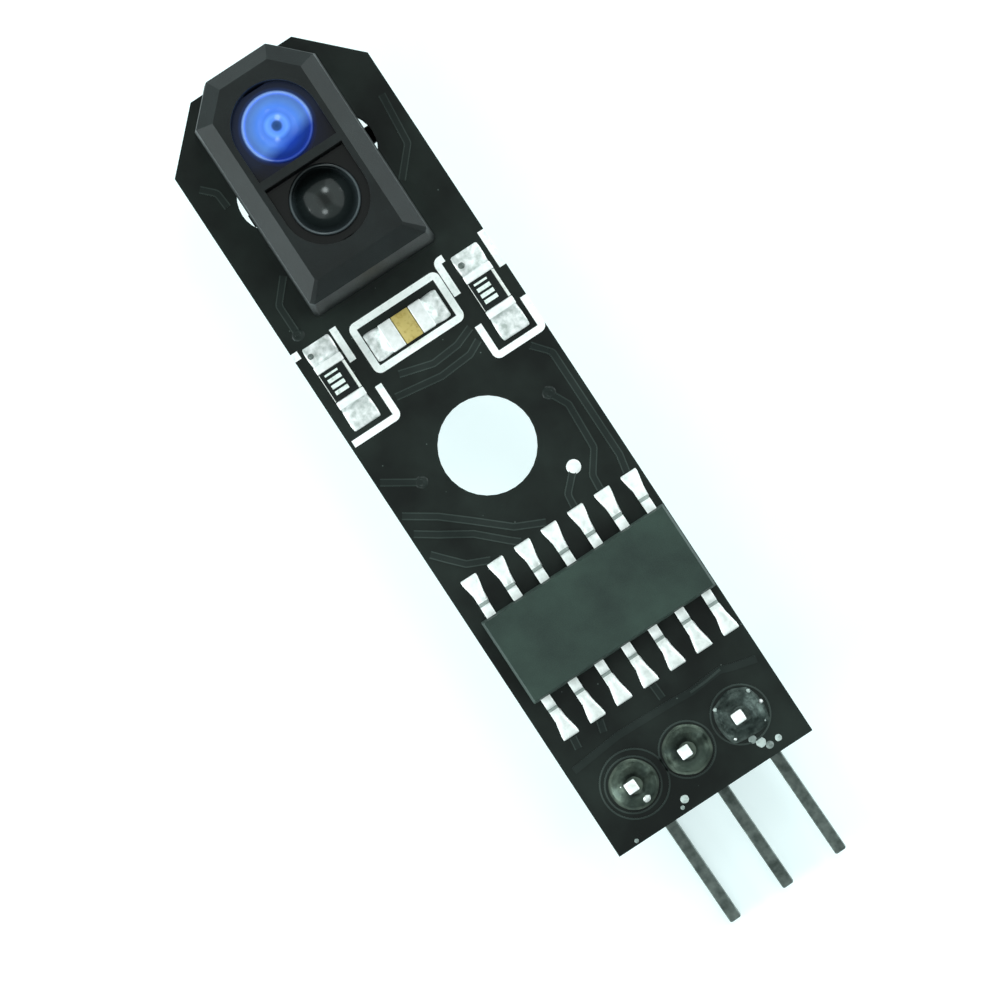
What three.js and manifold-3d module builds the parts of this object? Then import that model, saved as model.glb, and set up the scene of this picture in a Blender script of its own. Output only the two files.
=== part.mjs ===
// Reflective infrared line sensor module of a line-following robot.
// A narrow circuit board carries a two-window optical sensor at its far end, a 14-lead logic chip,
// three chip parts and a 3-pin header whose pins run out past the near end.
// Millimetres. +Z is the component side, +Y runs from the header to the sensor, +X is across.
// While it is built, z = 0 is the board's component face and y = 0 the board's near edge.
import * as THREE from 'three';
import { mergeVertices } from 'three/addons/utils/BufferGeometryUtils.js';
import Module from 'manifold-3d';

const wasm = await Module();
wasm.setup();

// Driving dimensions.
const gap = 0.03; // between pieces that sit against each other
const pitch = 2.54; // header pins
const board = { width: 9.2, length: 34.5, thick: 1.6, cornerCut: 2.2 };
const mountHole = { y: 16.6, radius: 2 };
const sensor = {
  x: -0.05, y: 29.65, baseWidth: 5.75, baseLength: 10.2, topWidth: 4.1, topLength: 8.3,
  shoulderWidth: 5.46, shoulderLength: 9.6, shoulderZ: 6.35, height: 7, endCut: 1.35,
  divider: 0.35, dividerY: 29.8, leadX: 1.27, leadY: 2.75, leadSize: 0.45, leadHole: 0.45, leadTail: 1.4,
  hookX: 1.6, hookHole: 1.5,
};
// The leg and barb of each snap hook, as x from the middle of the board. The left barb only locates.
const hook = {
  inner: 1.5, outer: 2.6, legWidth: 1.8, bottom: -2.9, taper: 0.3, heelDrop: 0.5,
  left: { y: 29.28, width: 0.54, reach: 2.98 }, right: { y: 29.58, width: 0.74, reach: 3.2 },
};
const lens = { offset: 1.7, radius: 1.46, edgeZ: 5.85, topZ: 6.6, seatZ: 5.5, window: 1.8 };
const opto = { width: 3.8, length: 3.15, bottomZ: 0.6 };
const leadFrame = { cupZ: 4.6, cupThick: 0.25, cupRadius: 0.55, die: 0.36, dieThick: 0.2 };
const chip = {
  x: 0.23, y: 8.9, length: 8.65, width: 3.9, standoff: 0.12, height: 1.62, partingZ: 0.86,
  draft: 0.1, leadPitch: 1.27, leadsPerSide: 7, leadWidth: 0.42, leadThick: 0.2, span: 6,
};
const smd = { length: 2, width: 1.25, height: 0.5, standoff: 0.05, wall: 0.06 };
const fillet = { rise: 0.36, waist: 0.12, waistZ: 0.1, rim: 0.06, base: 0.02 };
const header = {
  y: 2.1, pins: 3, pin: 0.5, tipZ: 1.15, lean: -4, tailSkew: 1.1, block: 2.54, notch: 0.35,
  blockGap: 0.27, bend: 0.54, reach: 7.04, chamfer: 0.05, hole: 0.5,
};
const cone = { rim: 0.06, steps: 5, room: 0.02 };
const headerJoint = { radius: 0.92, neck: 0.42, height: 0.85 };
const sensorJoint = { radius: 0.8, neck: 0.34, height: 0.95 };

const finish = {
  soldermask: { color: 0x1d2623, roughness: 0.45, metalness: 0 },
  blackPlastic: { color: 0x2b3134, roughness: 0.55, metalness: 0 },
  blueEpoxy: { color: 0x2f62c8, roughness: 0.15, metalness: 0 },
  blackEpoxy: { color: 0x14181a, roughness: 0.2, metalness: 0 },
  silicon: { color: 0x30363c, roughness: 0.3, metalness: 0.4 },
  tinned: { color: 0xd9dcd8, roughness: 0.3, metalness: 1 },
  solder: { color: 0xb9bcb8, roughness: 0.35, metalness: 1 },
  chipMould: { color: 0x3a4245, roughness: 0.7, metalness: 0 },
  resistorGlaze: { color: 0x1e2322, roughness: 0.4, metalness: 0 },
  capacitorCeramic: { color: 0xc9ab66, roughness: 0.6, metalness: 0 },
};

const group = new THREE.Group();
const headerGroup = new THREE.Group();
group.add(headerGroup);

function addNode(name, geometry, look, parent = group) {
  const mesh = new THREE.Mesh(geometry, new THREE.MeshStandardMaterial(look));
  mesh.name = name;
  parent.add(mesh);
}

// Solids for cutting and joining.
function toSolid(geometry) {
  const bare = geometry.clone();
  bare.deleteAttribute('normal');
  bare.deleteAttribute('uv');
  const merged = mergeVertices(bare, 1e-5);
  return new wasm.Manifold(new wasm.Mesh({
    numProp: 3,
    vertProperties: new Float32Array(merged.attributes.position.array),
    triVerts: new Uint32Array(merged.index.array),
  }));
}

function toGeometry(solid) {
  const mesh = solid.getMesh();
  const geometry = new THREE.BufferGeometry();
  geometry.setAttribute('position', new THREE.BufferAttribute(mesh.vertProperties, 3));
  geometry.setIndex(new THREE.BufferAttribute(mesh.triVerts, 1));
  geometry.computeVertexNormals();
  return geometry;
}

function cut(geometry, ...tools) {
  return toGeometry(tools.reduce((solid, tool) => solid.subtract(toSolid(tool)), toSolid(geometry)));
}

function join(geometry, ...others) {
  return toGeometry(others.reduce((solid, other) => solid.add(toSolid(other)), toSolid(geometry)));
}

function overlap(geometry, ...others) {
  return toGeometry(others.reduce((solid, o) => solid.intersect(toSolid(o)), toSolid(geometry)));
}

// Basic forms, each given by its lowest and highest corner or by an outline.
function block(x0, x1, y0, y1, z0, z1) {
  const geometry = new THREE.BoxGeometry(x1 - x0, y1 - y0, z1 - z0);
  return geometry.translate((x0 + x1) / 2, (y0 + y1) / 2, (z0 + z1) / 2);
}

function rod(x, y, radius, z0, z1, sides = 32) {
  const geometry = new THREE.CylinderGeometry(radius, radius, z1 - z0, sides);
  return geometry.rotateX(Math.PI / 2).translate(x, y, (z0 + z1) / 2);
}

function extrude(shape, z0, z1, curveSegments = 16) {
  const geometry = new THREE.ExtrudeGeometry(shape, { depth: z1 - z0, bevelEnabled: false, curveSegments });
  return geometry.translate(0, 0, z0);
}

// A side view in (y, z), swept across x, centred on the given x.
function acrossX(shape, x, width, curveSegments = 6) {
  const geometry = extrude(shape, -width / 2, width / 2, curveSegments);
  const basis = new THREE.Matrix4().makeBasis(
    new THREE.Vector3(0, 1, 0), new THREE.Vector3(0, 0, 1), new THREE.Vector3(1, 0, 0));
  return geometry.applyMatrix4(basis).translate(x, 0, 0);
}

// An end view in (x, z), swept along y, centred on the given y.
function alongY(shape, y, width) {
  const geometry = extrude(shape, -width / 2, width / 2);
  const basis = new THREE.Matrix4().makeBasis(
    new THREE.Vector3(1, 0, 0), new THREE.Vector3(0, 0, 1), new THREE.Vector3(0, -1, 0));
  return geometry.applyMatrix4(basis).translate(0, y, 0);
}

function turned(x, y, profile, sides = 24) {
  const points = profile.map(([radius, z]) => new THREE.Vector2(radius, z));
  return new THREE.LatheGeometry(points, sides).rotateX(Math.PI / 2).translate(x, y, 0);
}

function polygon(points) {
  return new THREE.Shape(points.map(([x, y]) => new THREE.Vector2(x, y)));
}

// A rectangle whose near and far corners are cut at 45 degrees, as points in order.
function cutRectangle(x, y, width, length, nearCut, farCut) {
  const w = width / 2;
  const l = length / 2;
  return [
    [x - w + nearCut, y - l], [x + w - nearCut, y - l], [x + w, y - l + nearCut], [x + w, y + l - farCut],
    [x + w - farCut, y + l], [x - w + farCut, y + l], [x - w, y + l - farCut], [x - w, y - l + nearCut],
  ];
}

// A solid through outlines of equal point count, one above the other.
function loft(levels) {
  const count = levels[0].outline.length;
  const position = levels.flatMap(({ outline, z }) => outline.flatMap(([x, y]) => [x, y, z]));
  const index = [];
  for (let level = 0; level < levels.length - 1; level += 1) {
    for (let side = 0; side < count; side += 1) {
      const a = level * count + side;
      const b = level * count + (side + 1) % count;
      index.push(a, b, b + count, a, b + count, a + count);
    }
  }
  const outline = levels[0].outline.map(([x, y]) => new THREE.Vector2(x, y));
  const top = (levels.length - 1) * count;
  for (const [a, b, c] of THREE.ShapeUtils.triangulateShape(outline, [])) {
    index.push(a, c, b, top + a, top + b, top + c);
  }
  const geometry = new THREE.BufferGeometry();
  geometry.setAttribute('position', new THREE.Float32BufferAttribute(position, 3));
  geometry.setIndex(index);
  geometry.computeVertexNormals();
  return geometry;
}

// Circuit board: routed outline with two cut corners, and all its drilled holes.
function circuitBoard() {
  const { width, length, thick, cornerCut } = board;
  const shape = polygon([
    [-width / 2, 0], [width / 2, 0], [width / 2, length - cornerCut], [width / 2 - cornerCut, length],
    [-width / 2 + cornerCut, length], [-width / 2, length - cornerCut],
  ]);
  const drill = (x, y, radius) => {
    shape.holes.push(new THREE.Path().absarc(x, y, radius, 0, 2 * Math.PI, true));
  };
  drill(0, mountHole.y, mountHole.radius);
  for (const side of [-1, 1]) {
    drill(sensor.x + side * sensor.hookX, sensor.y, sensor.hookHole);
    for (const end of [-1, 1]) {
      drill(sensor.x + side * sensor.leadX, sensor.y + end * sensor.leadY, sensor.leadHole);
    }
  }
  for (let n = 0; n < header.pins; n += 1) {
    drill((n - 1) * pitch, header.y, header.hole);
  }
  addNode('circuit_board', extrude(shape, -thick, 0), finish.soldermask);
}

// The window over a lens: round at its outer end, square against the divider.
function windowShape(end) {
  const y = sensor.dividerY + end * lens.offset;
  const edge = sensor.dividerY + end * sensor.divider / 2;
  const shape = new THREE.Shape();
  if (end > 0) {
    shape.moveTo(sensor.x - lens.window, edge);
    shape.lineTo(sensor.x + lens.window, edge);
    shape.absarc(sensor.x, y, lens.window, 0, Math.PI, false);
  } else {
    shape.moveTo(sensor.x + lens.window, edge);
    shape.lineTo(sensor.x - lens.window, edge);
    shape.absarc(sensor.x, y, lens.window, Math.PI, 2 * Math.PI, false);
  }
  return shape;
}

// A snap hook below the housing: a leg through the board and a barb under it.
function snapHook(side) {
  const { inner, outer, bottom, taper } = hook;
  const barb = side > 0 ? hook.right : hook.left;
  const root = 0.3; // into the housing's floor
  const under = -board.thick - 0.08;
  const leg = alongY(polygon([[inner, root], [inner, bottom], [outer - taper, bottom],
    [outer, bottom + hook.heelDrop], [outer, root]]), sensor.y, hook.legWidth);
  const tooth = alongY(polygon([[outer - 0.4, under], [outer - taper, bottom], [outer, bottom + 0.2],
    [barb.reach, under - 0.32], [barb.reach, under]]), barb.y, barb.width);
  const whole = toSolid(leg).add(toSolid(tooth));
  return toGeometry(side > 0 ? whole : whole.mirror([1, 0, 0]));
}

function sensorHousing() {
  const { x, y, baseWidth, baseLength, shoulderWidth, shoulderLength, topWidth, topLength } = sensor;
  const innerCut = sensor.endCut - (shoulderWidth - topWidth) / 2 * (2 - Math.SQRT2);
  const shell = loft([
    { outline: cutRectangle(x, y, baseWidth, baseLength, 0.15, sensor.endCut), z: gap },
    { outline: cutRectangle(x, y, shoulderWidth, shoulderLength, 0.15, sensor.endCut), z: sensor.shoulderZ },
    { outline: cutRectangle(x, y + 0.07, topWidth, topLength, 0.1, innerCut), z: sensor.height },
  ]);
  const room = opto.width / 2 + 0.08;
  const pockets = [-1, 1].map(end => {
    const near = sensor.dividerY + end * sensor.divider / 2;
    const far = near + end * (opto.length + 0.16);
    return block(x - room, x + room, Math.min(near, far), Math.max(near, far), -1, lens.seatZ + 0.1);
  });
  const windows = [-1, 1].map(end => extrude(windowShape(end), lens.seatZ, sensor.height + 1, 12));
  const hollow = cut(shell, ...pockets, ...windows);
  addNode('sensor_housing', join(hollow, snapHook(1), snapHook(-1)), finish.blackPlastic);
}

// Lead frame of one opto device. The first lead carries the die cup, the second a wire post.
function leadShapes(end, side, grow) {
  const { leadX, leadY, leadSize } = sensor;
  const x = sensor.x + side * leadX;
  const y = sensor.y + end * leadY;
  const half = leadSize / 2 + grow;
  const lower = grow > 0 ? -1 : -board.thick - sensor.leadTail;
  const top = leadFrame.cupZ + leadFrame.cupThick + grow;
  const shapes = [block(x - half, x + half, y - half, y + half, lower, top)];
  if (side > 0) {
    const cupY = sensor.dividerY + end * lens.offset;
    const floor = leadFrame.cupZ - grow;
    const [low, high] = [Math.min(cupY, y), Math.max(cupY, y)];
    shapes.push(block(sensor.x - half, x + half, y - half, y + half, floor, top));
    shapes.push(block(sensor.x - half, sensor.x + half, low - half, high + half, floor, top));
    shapes.push(rod(sensor.x, cupY, leadFrame.cupRadius + grow, floor, top, 20));
  }
  return shapes;
}

function dieShape(end, grow) {
  const y = sensor.dividerY + end * lens.offset;
  const half = leadFrame.die / 2 + grow;
  const floor = leadFrame.cupZ + leadFrame.cupThick + gap - (grow > 0 ? 2 * grow : 0);
  return block(sensor.x - half, sensor.x + half, y - half, y + half, floor,
    leadFrame.cupZ + leadFrame.cupThick + gap + leadFrame.dieThick + grow);
}

// Emitter or detector: a moulded block with a domed lens, around its lead frame and die.
function optoDevice(end, name, dieName, leadNames, look) {
  const near = sensor.dividerY + end * (sensor.divider / 2 + 0.08);
  const far = near + end * opto.length;
  const y = sensor.dividerY + end * lens.offset;
  const body = block(sensor.x - opto.width / 2, sensor.x + opto.width / 2,
    Math.min(near, far), Math.max(near, far), opto.bottomZ, lens.seatZ);
  const profile = [[0, lens.seatZ - 0.4], [lens.radius, lens.seatZ - 0.4], [lens.radius, lens.edgeZ]];
  const steps = 6;
  for (let n = 1; n <= steps; n += 1) {
    const angle = Math.PI / 2 * n / steps;
    profile.push([lens.radius * Math.cos(angle), lens.edgeZ + (lens.topZ - lens.edgeZ) * Math.sin(angle)]);
  }
  profile[profile.length - 1][0] = 0;
  const shell = join(body, turned(sensor.x, y, profile, 40));
  const slots = [-1, 1].flatMap(side => leadShapes(end, side, 0.04));
  addNode(name, cut(shell, ...slots, dieShape(end, 0.04)), look);
  addNode(dieName, dieShape(end, 0), finish.silicon);
  for (const side of [-1, 1]) {
    const [first, ...rest] = leadShapes(end, side, 0);
    addNode(leadNames[(side + 1) / 2], join(first, ...rest), finish.tinned);
  }
}

// Logic chip: drafted moulded body with a pocket for the inner end of each lead.
function leadCentres() {
  const centres = [];
  for (const side of [-1, 1]) {
    for (let n = 0; n < chip.leadsPerSide; n += 1) {
      const step = side < 0 ? n : chip.leadsPerSide - 1 - n;
      centres.push({ side, x: chip.x + (step - (chip.leadsPerSide - 1) / 2) * chip.leadPitch });
    }
  }
  return centres;
}

function chipLead(x, side) {
  const t = chip.leadThick;
  const inner = chip.width / 2 - 0.35;
  const knee = chip.width / 2 + 0.3;
  const heel = chip.span / 2 - 0.62;
  const toe = chip.span / 2;
  const shoulderZ = chip.partingZ + t / 2;
  const footZ = gap + t;
  const r = 0.12; // inner bend radius
  const shape = new THREE.Shape();
  shape.moveTo(inner, shoulderZ - t);
  shape.lineTo(knee - r, shoulderZ - t);
  shape.quadraticCurveTo(knee, shoulderZ - t, knee + 0.03, shoulderZ - t - r);
  shape.lineTo(heel - t - 0.02, footZ - t + r + t);
  shape.quadraticCurveTo(heel - t + 0.02, footZ - t, heel + r, footZ - t);
  shape.lineTo(toe, footZ - t);
  shape.lineTo(toe, footZ);
  shape.lineTo(heel + r, footZ);
  shape.quadraticCurveTo(heel + 0.02, footZ, heel, footZ + r);
  shape.lineTo(knee + t + 0.03, shoulderZ - t - r + 0.04);
  shape.quadraticCurveTo(knee + t, shoulderZ, knee - r, shoulderZ);
  shape.lineTo(inner, shoulderZ);
  const lead = acrossX(shape, 0, chip.leadWidth, 4);
  if (side < 0) {
    lead.rotateZ(Math.PI);
  }
  return lead.translate(x, chip.y, 0);
}

function logicChip() {
  const { x, y, length, width, draft } = chip;
  const body = loft([
    { outline: cutRectangle(x, y, length - 2 * draft, width - 2 * draft, 0.04, 0.04), z: chip.standoff },
    { outline: cutRectangle(x, y, length, width, 0.04, 0.04), z: chip.partingZ },
    { outline: cutRectangle(x, y, length - 2 * draft, width - 2 * draft, 0.04, 0.04), z: chip.height },
  ]);
  const room = { x: chip.leadWidth / 2 + gap, z: chip.leadThick / 2 + gap, depth: 0.4 };
  const pockets = leadCentres().map(({ side, x: centre }) => {
    const face = y + side * width / 2;
    const [low, high] = side > 0 ? [face - room.depth, face + 0.1] : [face - 0.1, face + room.depth];
    return block(centre - room.x, centre + room.x, low, high, chip.partingZ - room.z,
      chip.partingZ + room.z);
  });
  addNode('logic_chip_body', cut(body, ...pockets), finish.chipMould);
  leadCentres().forEach(({ side, x: centre }, n) => {
    addNode(`chip_lead_${String(n + 1).padStart(2, '0')}`, chipLead(centre, side), finish.tinned);
  });
}

// A two-ended chip part along y: a body with a tenon at each end, and two cup-shaped ends.
// It is turned about its centre for a part that lies across the board. Each end covers the given length.
function chipPart(name, x, y, turn, endNames, end, pads, look) {
  const { length, width, height, standoff, wall } = smd;
  const place = geometry => geometry.rotateZ(turn).translate(x, y, 0);
  const half = length / 2;
  const w = width / 2;
  const top = standoff + height;
  const middle = block(-w + 0.01, w - 0.01, -half + end + gap, half - end - gap, standoff + 0.01, top - 0.01);
  const tenon = block(-w + wall + gap, w - wall - gap, -half + wall + gap, half - wall - gap,
    standoff + wall + gap, top - wall - gap);
  addNode(`${name}_body`, place(join(middle, tenon)), look);
  endNames.forEach((endName, n) => {
    const dir = n === 0 ? -1 : 1;
    const outer = dir * half;
    const inner = dir * (half - end);
    const deep = dir * (half - wall);
    const shell = block(-w, w, Math.min(outer, inner), Math.max(outer, inner), standoff, top);
    const pocket = block(-w + wall, w - wall, Math.min(deep, inner) - (dir > 0 ? 0.1 : 0),
      Math.max(deep, inner) + (dir < 0 ? 0.1 : 0), standoff + wall, top - wall);
    addNode(`${name}_end_${endName}`, place(cut(shell, pocket)), finish.tinned);
    const face = outer + dir * 0.02;
    const toe = face + dir * pads[n];
    const side = new THREE.Shape();
    side.moveTo(face, fillet.base);
    if (dir > 0) {
      side.lineTo(toe, fillet.base);
      side.lineTo(toe, fillet.rim);
      side.quadraticCurveTo(face + fillet.waist, fillet.waistZ, face, fillet.rise);
    } else {
      side.lineTo(face, fillet.rise);
      side.quadraticCurveTo(face - fillet.waist, fillet.waistZ, toe, fillet.rim);
      side.lineTo(toe, fillet.base);
    }
    addNode(`${name}_solder_${endName}`, place(acrossX(side, 0, width, 6)), finish.solder);
  });
}

// Three-pin header: a notched insulator under the board and long pins bent towards the near edge.
// The whole header leans a little to one side, as a hand-soldered one does.
function headerBlock(top) {
  const half = header.block / 2;
  const { notch } = header;
  const front = [];
  const back = [];
  for (let n = 0; n < header.pins; n += 1) {
    const x = (n - 1) * pitch;
    const isFirst = n === 0;
    const isLast = n === header.pins - 1;
    front.push([x - half + notch, -half], [x + half - notch, -half]);
    back.unshift([x + half - notch, half], [x - half + notch, half]);
    if (!isLast) {
      front.push([x + half, -half + notch]);
      back.unshift([x + half, half - notch]);
    } else {
      front.push([x + half, -half + notch], [x + half, half - notch]);
    }
    if (isFirst) {
      front.unshift([x - half, -half + notch]);
    }
  }
  const outline = [...front, ...back, [-pitch - half, half - notch]];
  const body = extrude(polygon(outline), top - header.block, top);
  const room = header.pin / 2 + gap;
  const bores = [-1, 0, 1].map(n => block(n * pitch - room, n * pitch + room, -room, room, top - 4, top + 1));
  return cut(body, ...bores);
}

function headerPin(top) {
  const half = header.pin / 2;
  const under = top - header.block - header.bend; // upper face of the bent tail
  const floor = under - header.pin;
  const tip = header.chamfer;
  const slim = half - tip;
  const tipZ = header.tipZ + board.thick / 2; // measured, like the rest, from the header's pivot
  const side = new THREE.Shape();
  side.moveTo(half, tipZ - tip);
  side.lineTo(slim, tipZ);
  side.lineTo(-slim, tipZ);
  side.lineTo(-half, tipZ - tip);
  side.lineTo(-half, under + header.bend);
  side.absarc(-half - header.bend, under + header.bend, header.bend, 0, -Math.PI / 2, true);
  side.lineTo(-header.reach + tip, under);
  side.lineTo(-header.reach, under - half + slim);
  side.lineTo(-header.reach, under - half - slim);
  side.lineTo(-header.reach + tip, floor);
  side.lineTo(-half - header.bend, floor);
  side.absarc(-half - header.bend, under + header.bend, header.bend + header.pin, -Math.PI / 2, 0, false);
  const bar = acrossX(side, 0, header.pin, 8);
  const endView = alongY(polygon([[-half, floor - 1], [half, floor - 1], [half, tipZ - tip],
    [slim, tipZ], [-slim, tipZ], [-half, tipZ - tip]]), 0, 4 * header.reach);
  const plan = extrude(polygon([[half, 1], [-half, 1], [-half, -header.reach + tip], [-slim, -header.reach],
    [slim, -header.reach], [half, -header.reach + tip]]), floor - 1, tipZ + 1);
  return overlap(bar, endView, plan);
}

function solderCone(x, y, { radius, neck, height }, up, hole) {
  const base = up ? gap : -board.thick - gap;
  const sign = up ? 1 : -1;
  const profile = [[0, base], [radius, base], [radius, base + sign * cone.rim]];
  for (let n = 1; n <= cone.steps; n += 1) {
    const t = n / cone.steps;
    const fall = (1 - t) ** 2;
    profile.push([neck + (radius - neck) * fall, base + sign * (cone.rim + (height - cone.rim) * t)]);
  }
  profile.push([0, base + sign * height]);
  return cut(turned(x, y, up ? profile : profile.reverse()), hole);
}

function pinHeader() {
  const pivotZ = -board.thick / 2;
  const lean = THREE.MathUtils.degToRad(header.lean);
  const skew = THREE.MathUtils.degToRad(header.tailSkew);
  const top = -board.thick - header.blockGap - pivotZ; // block's top, measured from the pivot
  headerGroup.position.set(0, header.y, pivotZ);
  headerGroup.rotation.y = lean;
  addNode('header_block', headerBlock(top), finish.blackPlastic, headerGroup);
  for (let n = 0; n < header.pins; n += 1) {
    const x = (n - 1) * pitch;
    const pin = headerPin(top).rotateZ(skew).translate(x, 0, 0);
    addNode(`header_pin_${n + 1}`, pin, finish.tinned, headerGroup);
    const room = header.pin / 2 + cone.room;
    const hole = block(x - room, x + room, -room, room, -3, 3).rotateY(lean).translate(0, header.y, pivotZ);
    addNode(`header_solder_${n + 1}`, solderCone(x, header.y, headerJoint, true, hole), finish.solder);
  }
}

function sensorJoints() {
  let count = 0;
  for (const end of [-1, 1]) {
    for (const side of [-1, 1]) {
      count += 1;
      const x = sensor.x + side * sensor.leadX;
      const y = sensor.y + end * sensor.leadY;
      const room = sensor.leadSize / 2 + cone.room;
      const hole = block(x - room, x + room, y - room, y + room, -4, 0);
      addNode(`sensor_solder_${count}`, solderCone(x, y, sensorJoint, false, hole), finish.solder);
    }
  }
}

circuitBoard();
sensorHousing();
optoDevice(1, 'ir_emitter', 'emitter_die', ['emitter_anode_lead', 'emitter_cathode_lead'], finish.blueEpoxy);
optoDevice(-1, 'photo_detector', 'detector_die', ['detector_emitter_lead', 'detector_collector_lead'],
  finish.blackEpoxy);
logicChip();
chipPart('resistor_left', -3.5, 21.95, 0, ['near', 'far'], 0.34, [1, 0.85], finish.resistorGlaze);
chipPart('resistor_right', 3.45, 21.72, 0, ['near', 'far'], 0.34, [1, 0.9], finish.resistorGlaze);
chipPart('capacitor', -0.07, 22.34, -Math.PI / 2, ['left', 'right'], 0.58, [0.7, 0.7],
  finish.capacitorCeramic);
pinHeader();
sensorJoints();

// The origin is at the middle of the bottom of the whole module.
group.updateMatrixWorld(true);
const box = new THREE.Box3().setFromObject(group, true);
group.position.set(0, -(box.min.y + box.max.y) / 2, -box.min.z);

export default group;
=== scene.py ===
import math
import random

import bmesh
import bpy
from mathutils import Matrix, Vector


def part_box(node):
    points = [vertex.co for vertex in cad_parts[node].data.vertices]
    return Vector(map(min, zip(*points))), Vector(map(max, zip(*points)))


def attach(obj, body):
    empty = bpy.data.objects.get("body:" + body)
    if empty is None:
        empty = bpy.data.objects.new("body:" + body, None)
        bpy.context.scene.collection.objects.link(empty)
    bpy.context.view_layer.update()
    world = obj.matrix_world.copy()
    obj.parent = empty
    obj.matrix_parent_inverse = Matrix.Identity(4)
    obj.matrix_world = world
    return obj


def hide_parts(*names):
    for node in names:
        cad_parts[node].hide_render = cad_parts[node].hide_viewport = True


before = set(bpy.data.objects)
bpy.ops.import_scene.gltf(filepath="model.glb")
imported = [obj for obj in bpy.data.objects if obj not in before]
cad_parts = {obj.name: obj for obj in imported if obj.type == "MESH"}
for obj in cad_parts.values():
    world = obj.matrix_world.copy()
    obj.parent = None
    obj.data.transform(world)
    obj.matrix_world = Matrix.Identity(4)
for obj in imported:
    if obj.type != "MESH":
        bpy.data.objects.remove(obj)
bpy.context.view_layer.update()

mm = 0.001
boardLow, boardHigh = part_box("circuit_board")
nearEdge, faceZ = boardLow.y, boardHigh.z


def at(x, y, z=0.0):
    # millimetres across the board, from its near edge and from its component face
    return Vector((x * mm, nearEdge + y * mm, faceZ + z * mm))


def boxMm(node):
    # a CAD node's corners in the same millimetres as at()
    low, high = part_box(node)
    origin = at(0, 0)
    return (low - origin) / mm, (high - origin) / mm


# millimetres over the board, and degrees; across is how much of its plane the frame spans
view = {"aimX": -0.78, "aimY": 14.5, "height": 330, "across": 39.84, "roll": -33.28}
# metres: a paper sweep, flat out to its radius and then curved up, that glows over a table's width
studio = {
    "sweepRadius": 0.42, "sweepCurve": 0.14, "sweepRise": 0.24, "curveSteps": 12, "sides": 96,
    "floorGap": 0.00002, "paperDark": "#c2c8c9", "paperLight": "#c9cecf", "paperFibre": 0.8,
    "tableRadius": 0.12, "glow": 0.62, "glowTint": "#e4f8f9",
    "roomTint": "#e6f1ee", "ambient": 0.5, "lampTint": "#e6f2f2",
}
lamps = [
    # name, azimuth from +Y towards -X, degrees from straight up, distance, size, power
    ("softbox above", -33, 28, 0.8, 0.22, 0.85),
    ("softbox below", 147, 36, 0.8, 0.2, 0.6),
    ("left panel", 90, 58, 0.75, 1.6, 3.4),
    ("right panel", -90, 58, 0.75, 1.6, 3.2),
    ("low left", 90, 73, 0.45, 0.24, 1.75),
    ("low right", -90, 73, 0.45, 0.24, 1.2),
    ("low far", 0, 73, 0.45, 0.24, 0.9),
]


def linear(hexColour, alpha=1.0):
    # sRGB hex to the linear values that shaders use
    parts = [int(hexColour[n:n + 2], 16) / 255 for n in (1, 3, 5)]
    return tuple(c / 12.92 if c <= 0.04045 else ((c + 0.055) / 1.055) ** 2.4 for c in parts) + (alpha,)


def addNode(tree, kind, settings=None, values=None, links=None):
    node = tree.nodes.new(kind)
    for key, value in (settings or {}).items():
        setattr(node, key, value)
    for key, value in (values or {}).items():
        node.inputs[key].default_value = value
    for key, socket in (links or {}).items():
        tree.links.new(socket, node.inputs[key])
    return node


def startMaterial(name, values):
    material = bpy.data.materials.new(name)
    material.use_nodes = True
    tree = material.node_tree
    shader = tree.nodes["Principled BSDF"]
    for key, value in values.items():
        shader.inputs[key].default_value = value
    place = addNode(tree, "ShaderNodeTexCoord").outputs["Object"]
    return material, tree, shader, place


def perMm(size):
    # texture scale whose features are about this many millimetres across
    return 1 / (size * mm)


def blendHex(tree, factor, first, second):
    ramp = addNode(tree, "ShaderNodeValToRGB", links={"Fac": factor})
    ramp.color_ramp.elements[0].color = linear(first)
    ramp.color_ramp.elements[1].color = linear(second)
    return ramp


def makeCamera():
    data = bpy.data.cameras.new("camera")
    data.sensor_width = 36
    data.lens = data.sensor_width * view["height"] / view["across"]
    data.clip_start = 0.01
    camera = bpy.data.objects.new("camera", data)
    camera.location = at(view["aimX"], view["aimY"], view["height"])
    camera.rotation_euler = (0, 0, math.radians(view["roll"]))
    bpy.context.scene.collection.objects.link(camera)
    bpy.context.scene.camera = camera


def makeFloor():
    # a pale floor that curves up into a low wall all round, open above
    radius, curve = studio["sweepRadius"], studio["sweepCurve"]
    profile = [(0.0, 0.0), (radius, 0.0)]
    for n in range(1, studio["curveSteps"] + 1):
        angle = math.pi / 2 * n / studio["curveSteps"]
        profile.append((radius + curve * math.sin(angle), curve * (1 - math.cos(angle))))
    profile.append((radius + curve, studio["sweepRise"]))
    floor = latheMesh("floor", Vector((0, 0, -studio["floorGap"])), profile, studio["sides"], closed=False)
    material, tree, shader, place = startMaterial("matte white paper sweep", {
        "Roughness": 0.9, "Emission Color": linear(studio["glowTint"])})
    fibre = addNode(tree, "ShaderNodeTexNoise", links={"Vector": place},
                    values={"Scale": perMm(studio["paperFibre"]), "Detail": 3.0})
    tone = blendHex(tree, fibre.outputs["Fac"], studio["paperDark"], studio["paperLight"])
    tree.links.new(tone.outputs["Color"], shader.inputs["Base Color"])
    away = addNode(tree, "ShaderNodeVectorMath", {"operation": "LENGTH"}, links={0: place})
    fade = addNode(tree, "ShaderNodeMapRange",
                   values={"From Min": studio["tableRadius"], "From Max": 2 * studio["tableRadius"],
                           "To Min": studio["glow"], "To Max": 0.0},
                   links={"Value": away.outputs["Value"]})
    tree.links.new(fade.outputs[0], shader.inputs["Emission Strength"])
    floor.data.materials.append(material)


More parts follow.
